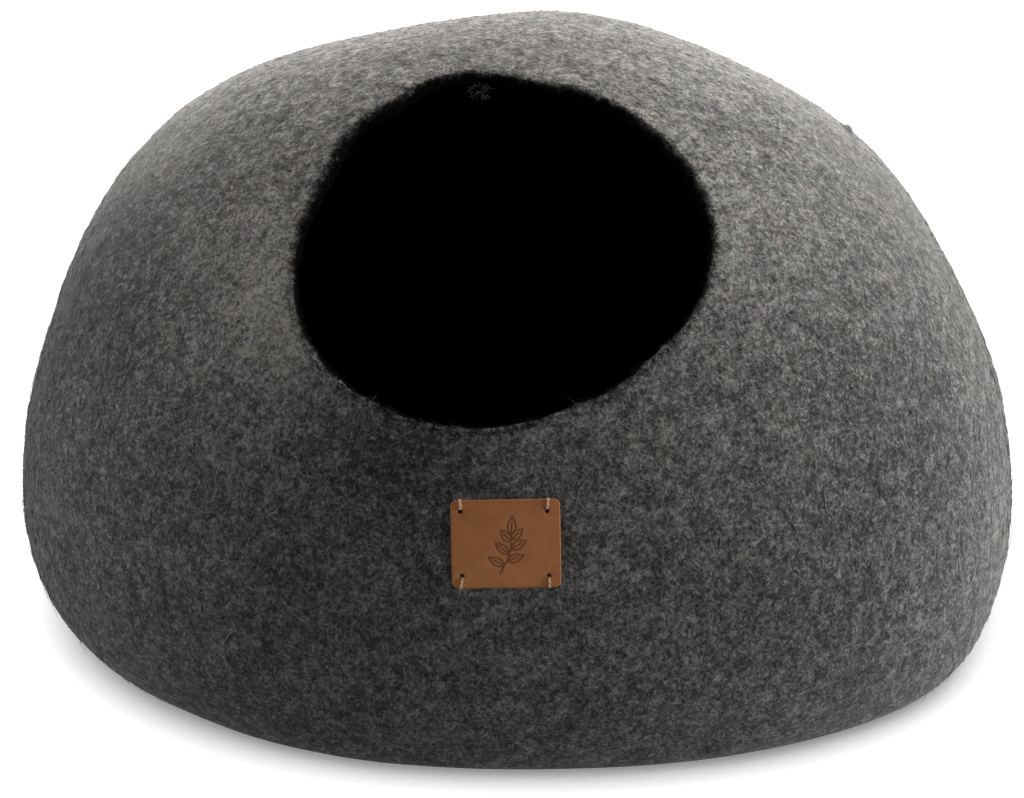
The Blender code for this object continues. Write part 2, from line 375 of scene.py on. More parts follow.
def felt_finish():
    """Heathered wool: pale, middling and dark fibres carded together and felted into one cloth,
    with patches of painted light and shade, and near-black painted shade inside and on the lip.
    """
    felt = Finish("heathered grey felt", Sheen_Weight=0.235, Sheen_Roughness=0.6,
                  Specular_IOR_Level=0.15)
    felt.shader.inputs["Sheen Tint"].default_value = (0.80, 0.79, 0.77, 1.0)
    place = felt.place()
    clouds = felt.noise(place, CLOUDS, detail=2, roughness=0.6)
    mottle = felt.noise(place, MOTTLE, detail=2, roughness=0.6)
    speckle = felt.noise(place, SPECKLE, detail=1.0, roughness=0.5)
    pale = 0.0
    for size, turn, seed in PALE_WOOL:
        pale = lines_of_wool(felt, place, size, turn, 0.9, 0.09, seed) + pale
    dark = lines_of_wool(felt, place, 0.0036, (0.8, 1.7, 0.5), 0.9, 0.13, 12.3)
    # Painted light and shade: the patches' mark makes the wool's colour paler or darker.
    carding = felt.marked("carding")
    shade = (0.322 + 0.26 * (clouds - 0.5) + 0.66 * (mottle - 0.5) + 0.42 * (speckle - 0.5)
             + 0.22 * pale - 0.15 * dark + SHADE_DOUBLING * carding)
    grey = felt.node("ShaderNodeValToRGB", {"stops": (
        (0.0, (0.008, 0.008, 0.009)), (0.28, (0.0355, 0.034, 0.0325)),
        (0.50, (0.0935, 0.089, 0.0825)), (0.72, (0.180, 0.171, 0.157)),
        (1.0, (0.333, 0.315, 0.288)))}, {"Fac": shade})
    dyed = felt.noise(place, DYE, detail=2, output="Color")
    tint = felt.mix(0.10, (0.5, 0.5, 0.5, 1.0), dyed)
    tint = felt.vector("SCALE", tint, scale=2.0)
    grey = felt.mix(1.0, grey, tint, "MULTIPLY")
    # Painted shade: the inside and the lip's inner rounding get a near-black colour that stands in
    # for the shade in the cave, blended in over a ragged edge.
    ragged_shade_edge = felt.marked("greyness") + 0.8 * (mottle - 0.5) + 0.5 * (speckle - 0.5)
    inside = felt.node("ShaderNodeBsdfPrincipled", (), {
        "Base Color": felt.mix(speckle, (0.0012, 0.0012, 0.0012, 1.0), (0.004, 0.004, 0.004, 1.0)),
        "Roughness": 0.95, "Specular IOR Level": 0.03})
    relief = 0.5 * speckle + 0.25 * pale - 0.3 * dark + 0.5 * mottle
    bump = felt.node("ShaderNodeBump", (), {"Strength": 0.18, "Distance": 0.0006, "Height": relief})
    felt.feed(Base_Color=grey, Roughness=0.86 + 0.12 * mottle, Normal=bump)
    felt.blend(ragged_shade_edge.rising(0.1, 1.0), inside)
    return felt.material


def felting():
    """Hand-felted unevenness: refines the shell, then pushes it about by lumps and ripples."""
    tree = Shaping("hand felting", Refining=1, Lump_Height=0.0, Lump_Size=1.0, Ripple_Height=0.0,
                   Ripple_Size=1.0, Flat_Base=0.01, Middle=(0.0, 0.0, 0.0), Lip_Facing=0.0,
                   Lip_Height=0.0, Lip_Size=1.0, Lip_Reach=1.0, Dark_Below=0.001, Dark_Above=0.001,
                   Mouth_Low=0.0, Mouth_High=1.0, Material=None)
    shell = tree.node("GeometryNodeSubdivisionSurface", (), {
        "Mesh": tree.given(), "Level": tree.given("Refining")})
    place = tree.node("GeometryNodeInputPosition")
    normal = tree.node("GeometryNodeInputNormal")
    away = tree.vector("NORMALIZE", tree.vector("SUBTRACT", place, tree.given("Middle")))
    facing = tree.node("ShaderNodeVectorMath", {"operation": "DOT_PRODUCT"}, {0: away, 1: normal},
                       "Value")
    shell = tree.store("outside", facing, shell)
    inner = tree.node("GeometryNodeSeparateGeometry", {"domain": "FACE"}, {
        "Geometry": shell, "Selection": tree.given("Lip_Facing") > facing})
    edge = tree.node("GeometryNodeProximity", {"target_element": "FACES"}, {
        "Geometry": inner, "Sample Position": place}, "Distance")
    shell = tree.store("from_lip", edge, shell)
    lumps = tree.noise(place, 1 / tree.given("Lump_Size"), detail=1.0)
    ripples = tree.noise(place, 1 / tree.given("Ripple_Size"), detail=1.0)
    push = (2 * (lumps - 0.5) * tree.given("Lump_Height")
            + 2 * (ripples - 0.5) * tree.given("Ripple_Height"))
    height = tree.node("ShaderNodeSeparateXYZ", (), {"Vector": place}, "Z")
    higher = height.rising(tree.given("Mouth_Low"), tree.given("Mouth_High"))
    dark = tree.given("Dark_Below") + higher * (tree.given("Dark_Above") - tree.given("Dark_Below"))
    # Painted shade: how far a point lies out of the near-black painted shade at the lip, which
    # reaches further out near the top.
    shell = tree.store("greyness", edge / dark, shell)
    push = push * (height / tree.given("Flat_Base")).clamped()
    beside = (1 - edge / tree.given("Lip_Reach")).clamped() * (facing > LEAST_LIP_FACING)
    cuts = tree.noise(place, 1 / tree.given("Lip_Size"), detail=2.0)
    push = push + 2 * (cuts - 0.5) * tree.given("Lip_Height") * beside
    shell = tree.node("GeometryNodeSetPosition", (), {
        "Geometry": shell, "Offset": tree.vector("SCALE", normal, scale=push)})
    tree.finish(shell)
    return tree


grey_felt = felt_finish()
felt_pod = merged_copy(FELT_NODE, "felt_pod")
cut_freely(felt_pod.data)
paint_light_and_shade_patches(felt_pod.data)
felting().run(felt_pod, Refining=FELT_REFINING, Lump_Height=LUMP_HEIGHT, Lump_Size=LUMP_SIZE,
              Ripple_Height=RIPPLE_HEIGHT, Ripple_Size=RIPPLE_SIZE, Flat_Base=FLAT_BASE,
              Middle=POD_MIDDLE, Lip_Facing=LIP_FACING, Lip_Height=LIP_HEIGHT, Lip_Size=LIP_SIZE,
              Lip_Reach=LIP_REACH, Dark_Below=PAINTED_SHADE_BELOW, Dark_Above=PAINTED_SHADE_ABOVE,
              Mouth_Low=MOUTH_LOW, Mouth_High=MOUTH_HIGH, Material=grey_felt)
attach(felt_pod, "root")
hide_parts(FELT_NODE)


# ---- Wool fibres on the felt ---------------------------------------------------------------------
# What the felting left loose on the outer face: long crimped fibres that lie on it, a fine nap of
# short ends that stands a millimetre proud, and near-black fibres along the cut edge that carry the
# lip's painted shade.
OUTER_AREA = 0.50                       # square metres of outer face
# count: fibres on the whole outer face; steepest: how far their ends rise, in degrees; palest and
# darkest: shades from 0, black, to 1, white; near, far: metres from the inside, which is coloured
# near-black as painted shade; thinning, none: heights between which they thin out, since the crown
# was rubbed the most.
Wool = namedtuple("Wool", "name count length radius rings crimp crimp_size steepest darkest palest"
                          " near far least_facing least_height thinning none")
WOOLS = (
    Wool("wool_curls", 1500, 0.0150, 0.00012, 9, 0.0080, 0.0075, 3,
         0.74, 0.97, 0.006, 1.0, 0.0, 0.018, 0.11, 0.16),
    Wool("wool_fibres", 9500, 0.0078, 0.00012, 4, 0.0034, 0.0050, 5,
         0.30, 0.92, 0.003, 1.0, 0.0, 0.010, 0.10, 0.25),
    Wool("wool_nap", 24000, 0.0028, 0.00010, 2, 0.0016, 0.0030, 20,
         0.50, 0.86, 0.001, 1.0, 0.0, 0.005, 1.0, 2.0),
    Wool("wool_lip", 700000, 0.0026, 0.00012, 2, 0.0018, 0.0030, 55,
         0.0, 0.02, -1.0, 0.004, -0.4, 0.10, 1.0, 2.0),
)


def fibre_finish(name, sheen, gloss):
    """Loose wool: its shade runs over U, fibre by fibre, and its ends are duller along V."""
    wool = Finish(name, Sheen_Weight=sheen, Sheen_Roughness=0.6, Specular_IOR_Level=gloss)
    spot = wool.node("ShaderNodeUVMap", {"uv_map": "OFBake"})
    across = wool.node("ShaderNodeSeparateXYZ", (), {"Vector": spot}, "X")
    along = across.other("Y")
    grey = wool.node("ShaderNodeValToRGB", {"stops": (
        (0.0, (0.001, 0.001, 0.001)), (0.25, (0.030, 0.030, 0.030)), (0.55, (0.087, 0.086, 0.084)),
        (0.80, (0.173, 0.171, 0.164)), (0.93, (0.280, 0.274, 0.260)),
        (1.0, (0.400, 0.392, 0.370)))}, {"Fac": across})
    tip = abs(along - 0.5) * 2
    dull = wool.mix(0.3 * tip.rising(0.4, 1.0) * across.rising(0.1, 0.5), grey,
                    (0.060, 0.059, 0.059, 1.0))
    wool.feed(Base_Color=dull, Roughness=0.72 + 0.2 * tip)
    return wool.material


TONE_DOUBLING = 0.20                    # step along the ramp of the fibres that doubles their shade
ROOTED = 0.7                            # half lengths from a fibre's root on the felt to its middle
LYING = 0.93                            # share of the crimp up and down that the felt holds flat


def fibre_laying():
    """Scatters fibres over the felt, each a thin closed spindle, and crimps them."""
    tree = Shaping("laying fibres", Fibres_per_Square_Metre=0.0, Length=0.01, Radius=0.0001,
                   Rings=2, Crimp=0.0, Crimp_Size=0.01, Steepest=0.0, Darkest=0.0, Palest=1.0,
                   Near=0.0, Far=1.0, Least_Facing=0.0, Least_Height=0.0, Thinning=1.0,
                   None_Above=2.0, Seed=0, Material=None)

    def known(name, kind="FLOAT"):
        return tree.node("GeometryNodeInputNamedAttribute", {"data_type": kind}, {"Name": name})

    place = tree.node("GeometryNodeInputPosition")
    height = tree.node("ShaderNodeSeparateXYZ", (), {"Vector": place}, "Z")
    here = ((known("from_lip") > tree.given("Near")) * (tree.given("Far") > known("from_lip"))
            * (known("outside") > tree.given("Least_Facing"))
            * (height > tree.given("Least_Height"))
            * (1 - height.rising(tree.given("Thinning"), tree.given("None_Above"))))
    roots = tree.node("GeometryNodeDistributePointsOnFaces", {"distribute_method": "RANDOM"}, {
        "Mesh": tree.given(), "Density": tree.given("Fibres_per_Square_Metre") * here,
        "Seed": tree.given("Seed")})
    tone = tree.chance(tree.given("Darkest"), tree.given("Palest"), 2)
    # The patches' painted light and shade also shifts the fibres' shade.
    tone = (tone + TONE_DOUBLING * known("carding")).clamped()
    # Painted shade: fibres darken towards black as they near the lip.
    points = tree.store("tone", tone * known("greyness").rising(0.0, 1.0), roots)
    points = tree.node("GeometryNodeStoreNamedAttribute", {"data_type": "FLOAT_VECTOR"}, {
        "Geometry": points, "Name": "up", "Value": roots.other("Normal")})
    turned = roots.other("Rotation")
    rise = tree.given("Steepest") * tree.chance(0.0, 1.0, 5)
    for axis, angle in (((0.0, 0.0, 1.0), tree.chance(0.0, math.tau, 1)),
                        ((1.0, 0.0, 0.0), math.pi / 2 - rise)):
        turn = tree.node("FunctionNodeAxisAngleToRotation", (), {"Axis": axis, "Angle": angle})
        turned = tree.node("FunctionNodeRotateRotation", {"rotation_space": "LOCAL"}, {
            "Rotation": turned, "Rotate By": turn})
    spindle = tree.node("GeometryNodeMeshUVSphere", (), {
        "Segments": 3, "Rings": tree.given("Rings"), "Radius": 1.0})
    across = tree.node("ShaderNodeSeparateXYZ", (), {"Vector": place})
    spindle = tree.store("along", 0.5 + 0.5 * across.other("Z"), spindle)
    spindle = tree.store("around", 0.5 + 0.3 * across + 0.4 * across.other("Y"), spindle)
    spindle = tree.node("GeometryNodeTransform", (), {
        "Geometry": spindle, "Translation": (0.0, 0.0, ROOTED)})
    size = tree.chance(0.5, 1.4, 3)
    girth = size * tree.given("Radius")
    stretch = tree.node("ShaderNodeCombineXYZ", (), {
        "X": girth, "Y": girth, "Z": 0.5 * size * tree.given("Length")})
    fibres = tree.node("GeometryNodeInstanceOnPoints", (), {
        "Points": points, "Instance": spindle, "Rotation": turned, "Scale": stretch})
    fibres = tree.node("GeometryNodeRealizeInstances", (), {"Geometry": fibres})
    bend = tree.noise(place, 1 / tree.given("Crimp_Size"), detail=1.0, output="Color",
                      seed=40 * known("tone"))
    bend = tree.vector("SUBTRACT", bend, (0.5, 0.5, 0.5))
    up = known("up", "FLOAT_VECTOR")
    rising = tree.node("ShaderNodeVectorMath", {"operation": "DOT_PRODUCT"}, {0: bend, 1: up},
                       "Value")
    bend = tree.vector("SUBTRACT", bend, tree.vector("SCALE", up, scale=LYING * rising))
    fibres = tree.node("GeometryNodeSetPosition", (), {
        "Geometry": fibres, "Offset": tree.vector("SCALE", bend, scale=2 * tree.given("Crimp"))})
    spot = tree.node("ShaderNodeCombineXYZ", (), {
        "X": 0.01 + 0.95 * known("tone") + 0.03 * known("around"),
        "Y": 0.01 + 0.98 * known("along")})
    corners = {"data_type": "FLOAT2", "domain": "CORNER"}
    fibres = tree.node("GeometryNodeStoreNamedAttribute", corners, {
        "Geometry": fibres, "Name": "OFBake", "Value": spot})
    for name in ("tone", "up", "along", "around"):
        fibres = tree.node("GeometryNodeRemoveAttribute", (), {"Geometry": fibres, "Name": name})
    tree.finish(fibres)
    return tree


grey_wool = fibre_finish("loose grey wool fibres", 0.17, 0.12)
painted_shade_wool = fibre_finish("loose black wool fibres", 0.0, 0.03)
laying = fibre_laying()
for number, row in enumerate(WOOLS):
    fibres = new_piece(row.name, felt_pod.data.copy())
    laying.run(fibres, Fibres_per_Square_Metre=row.count / OUTER_AREA, Length=row.length,
               Radius=row.radius, Rings=row.rings, Crimp=row.crimp, Crimp_Size=row.crimp_size,
               Steepest=math.radians(row.steepest), Darkest=row.darkest, Palest=row.palest,
               Near=row.near, Far=row.far, Least_Facing=row.least_facing,
               Least_Height=row.least_height, Thinning=row.thinning, None_Above=row.none,
               Seed=number, Material=painted_shade_wool if row.name == "wool_lip" else grey_wool)
    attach(fibres, "root")


# ---- Pills of wool -------------------------------------------------------------------------------
# Where loose wool was rubbed too long it rolled up: a small ball, two thirds sunk in the felt, sits
# on the right shoulder, and a thin loose grey wisp hangs just under the top of the way in.
Pill = namedtuple("Pill", "name place size ball doublings count steepest darkest palest")
PILLS = (
    Pill("shoulder_pill", (0.1633, 0.0320, 0.2214), (0.0036, 0.0036, 0.0025), True, 1.6, 260, 20,
         0.55, 0.86),
    Pill("lip_wisp", (-0.0190, -0.0600, 0.2719), (0.0058, 0.0020, 0.0024), False, 0.0, 100, 80,
         0.20, 0.40),
)
PILL_LUMPS = 0.3                        # share of its size by which a pill is uneven
PILL_FIBRE, PILL_FIBRE_RADIUS = 0.0035, 0.00010
PILL_CRIMP, PILL_CRIMP_SIZE = 0.0022, 0.003


def pill_mesh(pill):
    ball = bmesh.new()
    bmesh.ops.create_icosphere(ball, subdivisions=4, radius=1.0)
    for vertex in ball.verts:
        size = 1 + PILL_LUMPS * noise.noise(1.7 * vertex.co + Vector(pill.place) * 100)
        vertex.co = Vector(pill.place) + size * vertex.co * Vector(pill.size)
    mesh = bpy.data.meshes.new(pill.name)
    ball.to_mesh(mesh)
    ball.free()
    marks = {"from_lip": 0.01, "outside": 1.0, "greyness": 5.0, "carding": pill.doublings}
    for name, value in marks.items():
        mark(mesh, name, np.full(len(mesh.vertices), value))
    return mesh


for row in PILLS:
    mesh = pill_mesh(row)
    if row.ball:
        ball = new_piece(row.name, mesh.copy())
        ball.data.materials.append(grey_felt)
        ball.data.shade_smooth()
        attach(ball, "root")
    area = sum(face.area for face in mesh.polygons)
    wool = new_piece(row.name + "_wool", mesh)
    laying.run(wool, Fibres_per_Square_Metre=row.count / area, Length=PILL_FIBRE,
               Radius=PILL_FIBRE_RADIUS, Rings=3, Crimp=PILL_CRIMP, Crimp_Size=PILL_CRIMP_SIZE,
               Steepest=math.radians(row.steepest), Darkest=row.darkest, Palest=row.palest,
               Near=0.0, Far=1.0, Least_Facing=0.0, Least_Height=0.0, Seed=9, Material=grey_wool)
    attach(wool, "root")


# ---- Leather label -------------------------------------------------------------------------------
# A rectangle of vegetable-tanned leather, its corners rounded and its edges rubbed down, pressed
# with a heated line stamp and pierced near each corner for the stitches. It lies on the felt below
# the way in. Its place and tilt are copied from what part.py works out for the label's seat.
LABEL_MIDDLE = Vector((-0.006761, -0.233518, 0.123057))
LABEL_TILT = Euler(tuple(math.radians(angle) for angle in (73.6036, -1.0547, 0.1994)))
LABEL_WIDTH, LABEL_HEIGHT, LABEL_CORNER = 0.0477, 0.0391, 0.003
LABEL_THICKNESS = 0.0016
LABEL_GAP = 0.0003                      # between the leather and the felt
EDGE_ROUNDING = 0.0005
ROWS, COLUMNS = 120, 150
PRESSED_DEPTH, PRESSED_WIDTH = 0.00028, 0.00038
DIMPLE_DEPTH, DIMPLE_SIZE = 0.0003, 0.0013           # where the awl pushed the leather in
WAVE_HEIGHT, WAVES_ACROSS, WAVES_UP = 0.00012, 260, 310      # radians in a metre
BACK_ROUNDING = 0.6                     # share of the front edge's rounding that the back has
EDGE_SHADE, HOLE_SHADE = 0.0009, 0.00105             # how far the burnt edge and the painted shade round the holes reach
HOLE_RADIUS, HOLE_PULL = 0.0008, 0.0012  # the thread has pulled each round hole out to an oval
HOLES = ((-0.0196, 0.0146), (0.0181, 0.0143), (-0.0193, -0.0138), (0.0185, -0.0142))


label_frame = Matrix.LocRotScale(LABEL_MIDDLE, LABEL_TILT, None)


def in_label(mesh):
    """The points of a mesh, x across the label, y up it and z out of the felt."""
    to_label = np.array(label_frame.inverted())
    return points_of(mesh) @ to_label[:3, :3].T + to_label[:3, 3]


def terms(x, y):
    return np.stack([np.ones_like(x), x, y, x * x, x * y, y * y,
                     x ** 3, x * x * y, x * y * y, y ** 3])


def felt_under_label():
    """Smooth height of the felt under the label, fitted to the underside of its own solid."""
    spots = in_label(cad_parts["leather_label"].data)
    x, y, z = spots.T
    low = z < np.median(z)
    for _ in range(3):
        fit = np.linalg.lstsq(terms(x[low], y[low]).T, z[low], rcond=None)[0]
        rest = z - fit @ terms(x, y)
        low = rest < LABEL_THICKNESS * 0.3
    return fit


FELT_FIT = felt_under_label()


def felt_height(x, y):
    return FELT_FIT @ terms(np.asarray(x, float), np.asarray(y, float)) - LABEL_GAP


def leaf(root, angle, length, width):
    """Outline and vein of a leaf, from its root, pointing at an angle in degrees."""
    share = np.linspace(0, 1, 17)
    half = width / 2 * np.sin(math.pi * share ** 0.85)
    along = np.array((math.cos(math.radians(angle)), math.sin(math.radians(angle))))
    side = np.array((-along[1], along[0]))
    middle = np.array(root) + np.outer(share * length, along)
    vein = middle[2:12]
    return [middle + np.outer(half, side), middle - np.outer(half, side), vein]


def sprig_lines():
    """The pressed design, in metres: a plain sprig with leaves in pairs, as strings of points."""
    share = np.linspace(0, 1, 33)
    stem = np.stack([-0.0030 + 0.0052 * share + 0.0016 * np.sin(math.pi * share),
                     -0.0128 + 0.0170 * share], axis=1)
    lines = [stem]
    for place, angle, length in ((0.20, 150, 0.0078), (0.32, 18, 0.0080), (0.50, 142, 0.0076),
                                 (0.62, 28, 0.0078), (0.80, 132, 0.0068), (0.88, 42, 0.0066)):
        root = stem[round(place * 32)]
        lines += leaf(root, angle, length, 0.0034)
    lines += leaf(stem[-1], 86, 0.0080, 0.0036)
    return lines


def distance_to_lines(x, y, lines):
    spots = np.stack([x, y], axis=1)
    nearest = np.full(len(x), 1.0)
    for line in lines:
        for start, end in zip(line, line[1:]):
            run = end - start
            share = np.clip((spots - start) @ run / (run @ run), 0, 1)
            past = spots - start - share[:, None] * run
            nearest = np.minimum(nearest, np.linalg.norm(past, axis=1))
    return nearest


def edge_distance(x, y):
    """How far inside the label's rounded outline a point lies."""
    over_x = np.abs(x) - (LABEL_WIDTH / 2 - LABEL_CORNER)
    over_y = np.abs(y) - (LABEL_HEIGHT / 2 - LABEL_CORNER)
    outer = np.hypot(np.maximum(over_x, 0), np.maximum(over_y, 0))
    return LABEL_CORNER - outer - np.minimum(np.maximum(over_x, over_y), 0)


def crowded(count):
    """Steps from -1 to 1 that crowd towards both ends."""
    steps = np.linspace(-1, 1, count)
    return 0.7 * steps + 0.3 * np.sin(math.pi / 2 * steps)


def label_sheet():
    """The pressed leather: rows across the label whose ends follow the rounded corners."""
    y = np.repeat(crowded(ROWS) * LABEL_HEIGHT / 2, COLUMNS)
    past = np.maximum(np.abs(y) - (LABEL_HEIGHT / 2 - LABEL_CORNER), 0)
    half = LABEL_WIDTH / 2 - LABEL_CORNER + np.sqrt(np.maximum(LABEL_CORNER ** 2 - past ** 2, 0))
    x = np.tile(crowded(COLUMNS), ROWS) * half
    inside = np.clip(edge_distance(x, y), 0, EDGE_ROUNDING)
    drop = EDGE_ROUNDING - np.sqrt(EDGE_ROUNDING ** 2 - (EDGE_ROUNDING - inside) ** 2)
    pressed = PRESSED_DEPTH * np.exp(-(distance_to_lines(x, y, sprig_lines()) / PRESSED_WIDTH) ** 2)
    holes = sum(DIMPLE_DEPTH * np.exp(-((x - u) ** 2 + (y - v) ** 2) / DIMPLE_SIZE ** 2)
                for u, v in HOLES)
    wavy = WAVE_HEIGHT * np.sin(x * WAVES_ACROSS + 1.0) * np.sin(y * WAVES_UP + 0.4)
    under = felt_height(x, y) + LABEL_GAP
    top = under + LABEL_THICKNESS + wavy - drop - pressed - holes
    sheet = bmesh.new()
    heights = (top, under + drop * BACK_ROUNDING)
    faces = [[sheet.verts.new(spot) for spot in zip(x, y, z)] for z in heights]
    for row in range(ROWS - 1):
        for column in range(COLUMNS - 1):
            corner = row * COLUMNS + column
            around = (corner, corner + 1, corner + 1 + COLUMNS, corner + COLUMNS)
            sheet.faces.new([faces[0][index] for index in around])
            sheet.faces.new([faces[1][index] for index in reversed(around)])
    rim = ([column for column in range(COLUMNS)]
           + [row * COLUMNS + COLUMNS - 1 for row in range(1, ROWS)]
           + [(ROWS - 1) * COLUMNS + column for column in range(COLUMNS - 2, -1, -1)]
           + [row * COLUMNS for row in range(ROWS - 2, 0, -1)])
    for here, after in zip(rim, rim[1:] + rim[:1]):
        sheet.faces.new((faces[1][here], faces[1][after], faces[0][after], faces[0][here]))
    mesh = bpy.data.meshes.new("label")
    sheet.to_mesh(mesh)
    sheet.free()
    return mesh


def pierce(piece):
    """Cuts the four stitch holes through the leather."""
    posts = bmesh.new()
    for x, y in HOLES:
        middle = y + math.copysign(HOLE_PULL / 2, y)
        place = Matrix.Translation((x, middle, float(felt_height(x, middle)) + LABEL_THICKNESS / 2))
        oval = Matrix.Diagonal((1.0, 1 + HOLE_PULL / 2 / HOLE_RADIUS, 1.0, 1.0))
        bmesh.ops.create_cone(posts, cap_ends=True, segments=24, radius1=HOLE_RADIUS,
                              radius2=HOLE_RADIUS, depth=3 * LABEL_THICKNESS, matrix=place @ oval)
    mesh = bpy.data.meshes.new("awl")
    posts.to_mesh(mesh)
    posts.free()
    awl = new_piece("awl", mesh)
    holes = piece.modifiers.new("holes", "BOOLEAN")
    holes.solver = "EXACT"
    holes.object = awl
    keep_shape(piece)
    bpy.data.objects.remove(awl, do_unlink=True)


PALER_DOWN = 6                          # the leather is paler towards its lower edge


def leather_finish():
    """Vegetable-tanned leather: mottled tan, fine grain, burnt brown where pressed or cut, and
    painted shade round the stitch holes.
    """
    leather = Finish("tan vegetable leather", Roughness=0.55, Specular_IOR_Level=0.35)
    place = leather.place()
    clouds = leather.noise(place, 110, detail=4, roughness=0.6)
    mottle = leather.noise(place, 420, detail=3, roughness=0.6)
    grain = leather.node("ShaderNodeTexVoronoi", {"feature": "DISTANCE_TO_EDGE"}, {
        "Vector": place, "Scale": 1500.0})
    pores = leather.noise(place, 2600, detail=2)
    height = leather.node("ShaderNodeSeparateXYZ", (), {"Vector": place}, "Z")
    tan = leather.node("ShaderNodeValToRGB", {"stops": (
        (0.30, (0.550, 0.199, 0.066)), (0.50, (0.630, 0.239, 0.082)),
        (0.70, (0.690, 0.274, 0.100)))},
        {"Fac": 0.6 * clouds + 0.4 * mottle + PALER_DOWN * (LABEL_MIDDLE.z - height)})
    pressed, edge, hole = (leather.marked(name) for name in ("pressed", "edge", "hole"))
    tan = leather.mix(0.85 * pressed, tan, (0.150, 0.045, 0.015, 1.0))
    tan = leather.mix((edge * (0.4 + 0.6 * mottle)).clamped() * 0.5, tan,
                      (0.300, 0.105, 0.036, 1.0))
    # Painted shade: near-black round each stitch hole, where the hole and the bend of the thread
    # lie in shade.
    tan = leather.mix(hole, tan, (0.012, 0.005, 0.003, 1.0))
    relief = grain.rising(0.0, 0.35) * 0.5 + 0.5 * pores - 0.8 * pressed
    bump = leather.node("ShaderNodeBump", (), {
        "Strength": 0.35, "Distance": 0.0002, "Height": relief})
    leather.feed(Base_Color=tan, Roughness=0.50 + 0.2 * mottle - 0.12 * pressed, Normal=bump)
    return leather.material


label = new_piece("label", label_sheet())
pierce(label)
x, y, z = np.array([vertex.co for vertex in label.data.vertices]).T
mark(label.data, "pressed", np.exp(-(distance_to_lines(x, y, sprig_lines()) / PRESSED_WIDTH) ** 2))
mark(label.data, "edge", np.exp(-(edge_distance(x, y) / EDGE_SHADE) ** 2))
mark(label.data, "hole", np.clip(sum(np.exp(-(((x - u) ** 2 + (y - v) ** 2) / HOLE_SHADE ** 2) ** 3)
                                     for u, v in HOLES), 0, 1))
label.data.transform(label_frame)
label.data.materials.append(leather_finish())
label.data.shade_smooth()
label.data.set_sharp_from_angle(angle=math.radians(50))
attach(label, "root")
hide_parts("leather_label")


# ---- Stitches ------------------------------------------------------------------------------------
# Four short ties of two-ply linen thread. Each comes up through its hole, bends over the label's
# top or bottom edge and goes down into the felt.
THREAD_RADIUS, THREAD_BEND, BEND_STEPS = 0.00073, 0.0008, 6
THREAD_BITE = 0.0010                    # how far the tight thread sinks into the leather's edge
THREAD_END = 0.0006                     # how far both its ends go on below the felt's surface
PLY_TURN_LENGTH, THREAD_STEPS = 0.0044, 56
Stitch = namedtuple("Stitch", "name across up drift")
STITCHES = (
    Stitch("stitch_top_left", -0.0196, 0.0146, 0.0),
    Stitch("stitch_top_right", 0.0181, 0.0143, 0.0005),
    Stitch("stitch_bottom_left", -0.0193, -0.0138, -0.0008),
    Stitch("stitch_bottom_right", 0.0185, -0.0142, 0.0),
)


def stitch_route(stitch):
    """Middle line of a stitch: up out of its hole, over the label's edge and down to the felt."""
    out = math.copysign(1, stitch.up)
    clear = LABEL_GAP + THREAD_RADIUS
    start = stitch.up + out * HOLE_PULL
    length = LABEL_HEIGHT / 2 + THREAD_RADIUS - THREAD_BITE - abs(start)
    top = LABEL_GAP + LABEL_THICKNESS + 0.8 * THREAD_RADIUS
    angles = [math.pi / 2 * step / BEND_STEPS for step in range(BEND_STEPS + 1)]
    bend = [(THREAD_BEND * (1 - math.cos(a)), THREAD_BEND * (1 - math.sin(a))) for a in angles]
    profile = [(0.0, -THREAD_END), (0.0, clear)]
    profile += [(inward, top - down) for inward, down in bend]
    profile += [(length - inward, top - down) for down, inward in bend]
    profile += [(length, clear), (length, -THREAD_END)]
    route = []
    for distance, lift in profile:
        x = stitch.across + stitch.drift * distance / length
        y = start + out * distance
        route.append(label_frame @ Vector((x, y, float(felt_height(x, y)) + lift)))
    return route


def thread_finish():
    """Linen thread: pale, slightly waxed flax with darker hollows between its plies."""
    linen = Finish("waxed linen thread", Roughness=0.6, Sheen_Weight=0.2, Specular_IOR_Level=0.35)
    place = linen.place()
    flax = linen.noise(place, 1500, detail=3, roughness=0.6)
    slubs = linen.noise(place, 380, detail=1)
    colour = linen.node("ShaderNodeValToRGB", {"stops": (
        (0.30, (0.46, 0.285, 0.155)), (0.52, (0.71, 0.49, 0.295)), (0.75, (0.86, 0.64, 0.42)))},
        {"Fac": 0.6 * flax + 0.4 * slubs})
    bump = linen.node("ShaderNodeBump", (), {"Strength": 0.5, "Distance": 0.0001, "Height": flax})
    linen.feed(Base_Color=colour, Roughness=0.55 + 0.25 * flax, Normal=bump)
    return linen.material


def plying():
    """Twists two plies round a route."""
    tree = Shaping("plying", Radius=0.0005, Turn_Length=0.002, Steps=60, Material=None)
    route = tree.node("GeometryNodeMeshToCurve", (), {"Mesh": tree.given()})
    route = tree.node("GeometryNodeResampleCurve", (), {
        "Curve": route, "Count": tree.given("Steps")})
    far = tree.node("GeometryNodeSplineParameter", output="Length")
    route = tree.node("GeometryNodeSetCurveTilt", (), {
        "Curve": route, "Tilt": far * math.tau / tree.given("Turn_Length")})
    ply = tree.node("GeometryNodeCurvePrimitiveCircle", (), {
        "Resolution": 8, "Radius": tree.given("Radius") * 0.56})
    strands = tree.node("GeometryNodeJoinGeometry")
    for side in (-1, 1):
        aside = tree.node("ShaderNodeCombineXYZ", (), {"X": side * 0.45 * tree.given("Radius")})
        moved = tree.node("GeometryNodeTransform", (), {"Geometry": ply, "Translation": aside})
        tree.tree.links.new(moved.socket, strands.socket.node.inputs["Geometry"])
    thread = tree.node("GeometryNodeCurveToMesh", (), {
        "Curve": route, "Profile Curve": strands, "Fill Caps": True})
    tree.finish(thread)
    return tree


